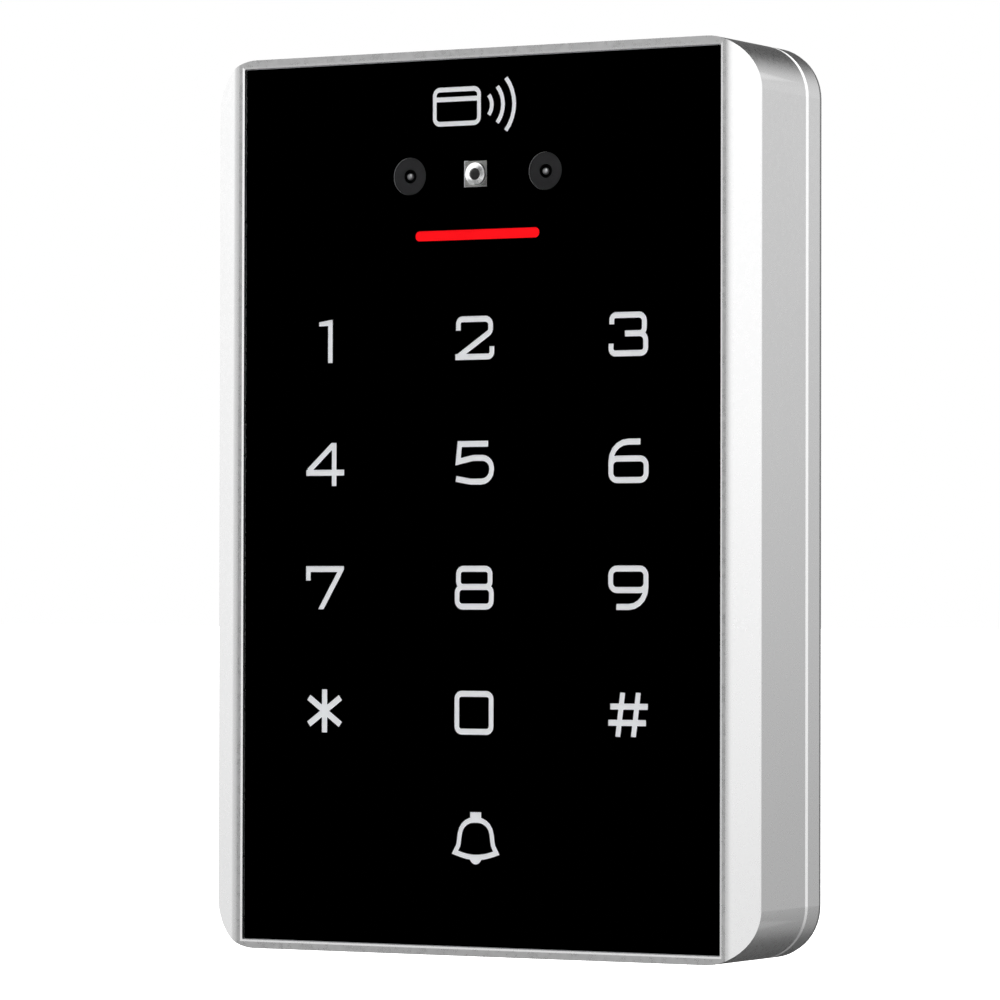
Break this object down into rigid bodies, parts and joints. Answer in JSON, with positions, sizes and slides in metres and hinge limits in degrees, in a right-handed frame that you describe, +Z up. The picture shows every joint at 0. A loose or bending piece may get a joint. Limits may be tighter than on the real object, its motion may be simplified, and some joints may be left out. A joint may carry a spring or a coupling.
{
  "type": "keypad access reader",
  "caption": "Slim wall-mounted access reader with a satin metal housing, bevelled long sides, a black glass touch keypad, a red status bar and a tilting, lockable mounting on a wall base.",
  "frame": {"origin": "centre of the wall base's rear face, which rests on the wall", "axes": "+Y into the wall, +Z up, +X to the right seen from the front"},
  "size_m": [0.0824, 0.0197, 0.12],
  "materials": {
    "housing_metal": "satin",
    "clear_front": "polished",
    "black_ink": "gloss",
    "white_film": "matte",
    "red_bar": "gloss",
    "lamp_epoxy": "gloss",
    "lamp_body": "satin",
    "board": "gloss",
    "copper": "satin",
    "chip_plastic": "matte",
    "tin": "satin",
    "capacitor_case": "matte",
    "connector_plastic": "matte",
    "steel": "satin",
    "rubber": "matte",
    "tape": "matte",
    "cover_plastic": "matte"
  },
  "bodies": {
    "wall_base": {"wall_base": "housing_metal", "cable_grommet": "rubber"},
    "reader": {"front_housing": "housing_metal", "front_sheet": "clear_front", "ink_mask": "black_ink", "diffuser_plate": "white_film", "status_light_bar": "red_bar", "ir_emitter": "lamp_epoxy", "ir_receiver": "lamp_epoxy", "status_led": "lamp_body", "key_leds": "lamp_body", "bar_leds": "lamp_body", "touch_board": "board", "main_board": "board", "touch_pads": "copper", "antenna_coil": "copper", "touch_chip": "chip_plastic", "board_link": "chip_plastic", "processor_chip": "chip_plastic", "rfid_chip": "chip_plastic", "voltage_regulator": "chip_plastic", "buzzer": "chip_plastic", "tamper_switch": "chip_plastic", "crystal": "tin", "filter_capacitors": "capacitor_case", "cable_header": "connector_plastic", "board_screws": "steel", "cover_screws": "steel", "lock_nut": "steel", "rear_gasket": "rubber", "cable_gland": "rubber", "panel_tape": "tape", "light_frame": "tape", "rear_cover": "cover_plastic"},
    "screw_carrier": {"screw_washer": "steel"},
    "lock_screw": {"security_screw": "steel"},
    "tamper": {"tamper_plunger": "connector_plastic"}
  },
  "joints": [
    {"name": "housing_swing", "type": "hinge", "parent": "wall_base", "child": "reader", "pos_m": [0, -0.00465, 0.0588], "axis": [-1, 0, 0], "range_deg": [0, 20]},
    {"name": "screw_turn", "type": "hinge", "parent": "screw_carrier", "child": "lock_screw", "pos_m": [0, -0.0104, -0.058], "axis": [0, 0, 1], "range_deg": [0, 5040]},
    {"name": "screw_travel", "type": "slide", "parent": "reader", "child": "screw_carrier", "axis": [0, 0, -1], "range_m": [0, 0.007]},
    {"name": "tamper_travel", "type": "slide", "parent": "reader", "child": "tamper", "axis": [0, 1, 0], "range_m": [0, 0.0012]}
  ],
  "couplings": [
    {"joint": "screw_turn", "follows": "screw_travel", "rad_per_m": 12566},
    {"joint": "tamper_travel", "follows": "housing_swing", "m_per_rad": 0.0034}
  ]
}
